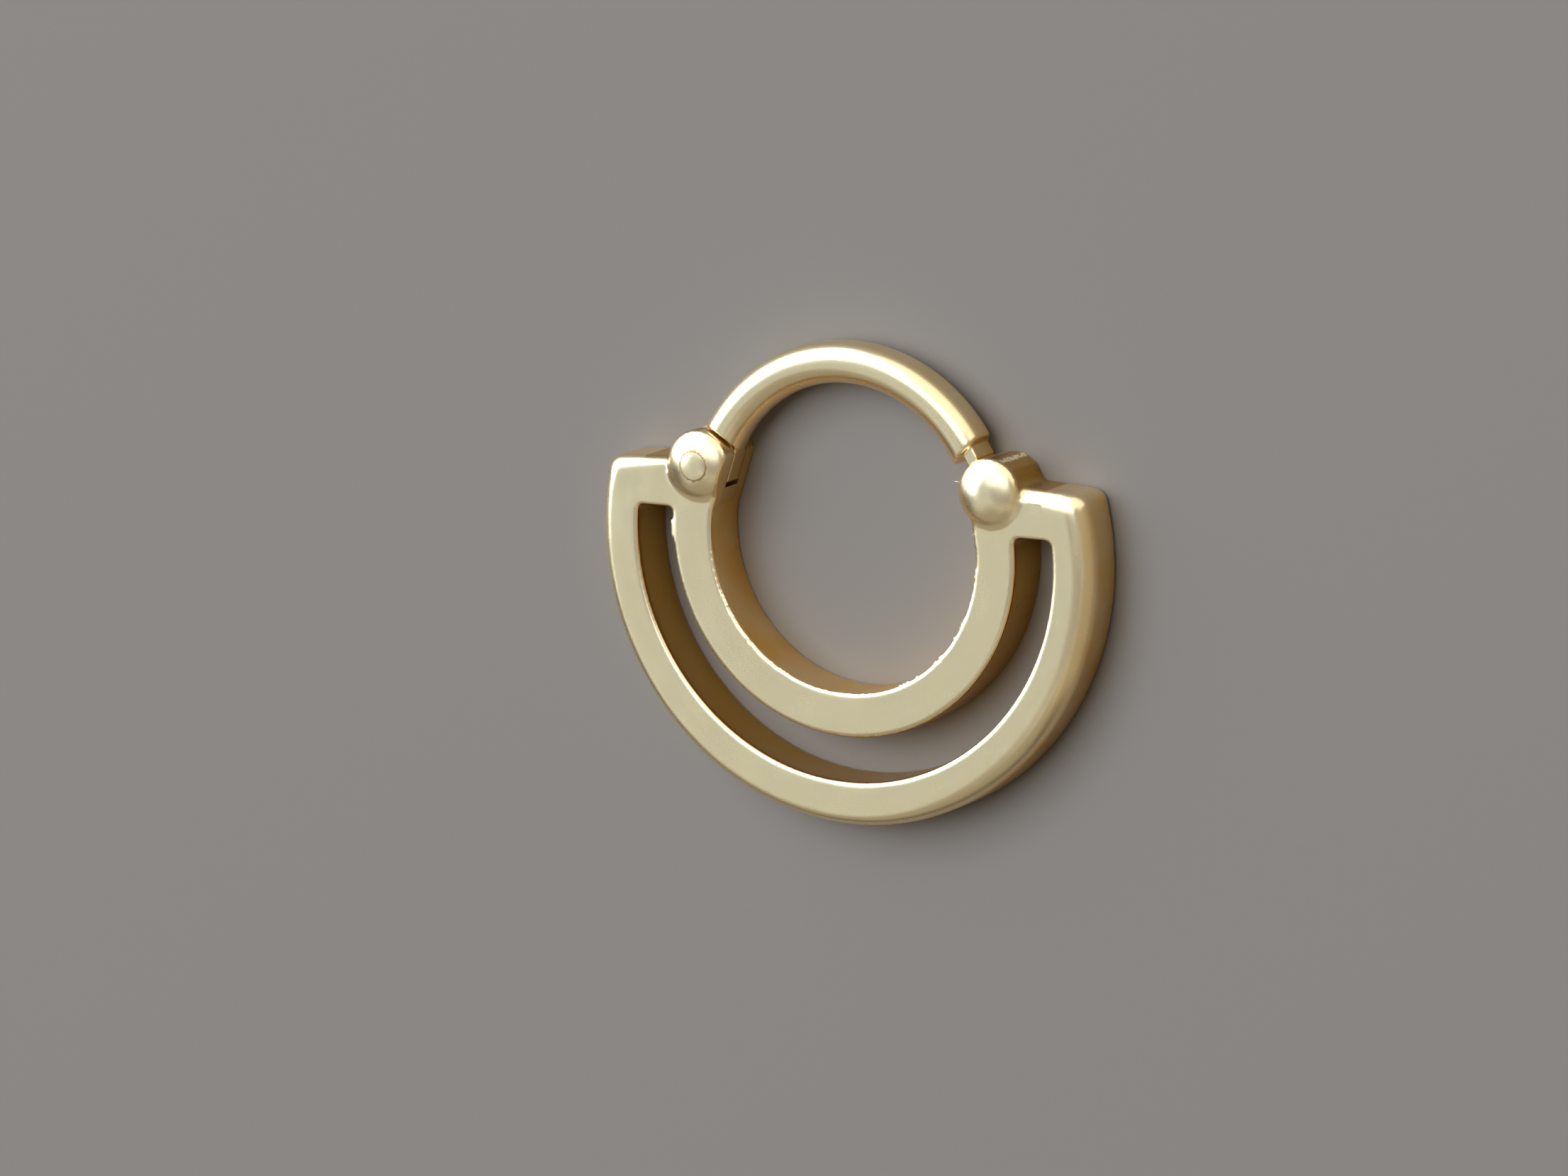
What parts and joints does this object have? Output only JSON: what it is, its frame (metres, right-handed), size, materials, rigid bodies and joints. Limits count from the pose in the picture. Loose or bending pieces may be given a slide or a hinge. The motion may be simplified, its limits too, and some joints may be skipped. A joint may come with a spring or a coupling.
{
  "type": "daith clicker ring",
  "caption": "Hinged gold ear ring: a double open hoop closed by a curved bar that swings on a pin and clicks into a latch barrel.",
  "frame": {"origin": "centre of the round hole, on the plane of the back face that the ring lies on", "axes": "+X towards the latch barrel, +Y towards the top of the curved bar, +Z out of the domed front face"},
  "size_m": [0.0148, 0.0129, 0.0018],
  "materials": {
    "cast_gold": "yellow gold, cast, satin front with softly polished edges",
    "pin_gold": "yellow gold, filed and polished flush",
    "bar_gold": "yellow gold, polished smooth for wearing"
  },
  "bodies": {
    "hoop": {"frame": "cast_gold", "hinge_pin": "pin_gold"},
    "bar": {"bar": "bar_gold"}
  },
  "joints": [
    {"name": "bar_hinge", "type": "hinge", "parent": "hoop", "child": "bar", "pos_m": [-0.00432, 0.0018, 0.00075], "axis": [0, 0, 1], "range_deg": [0, 78]}
  ]
}
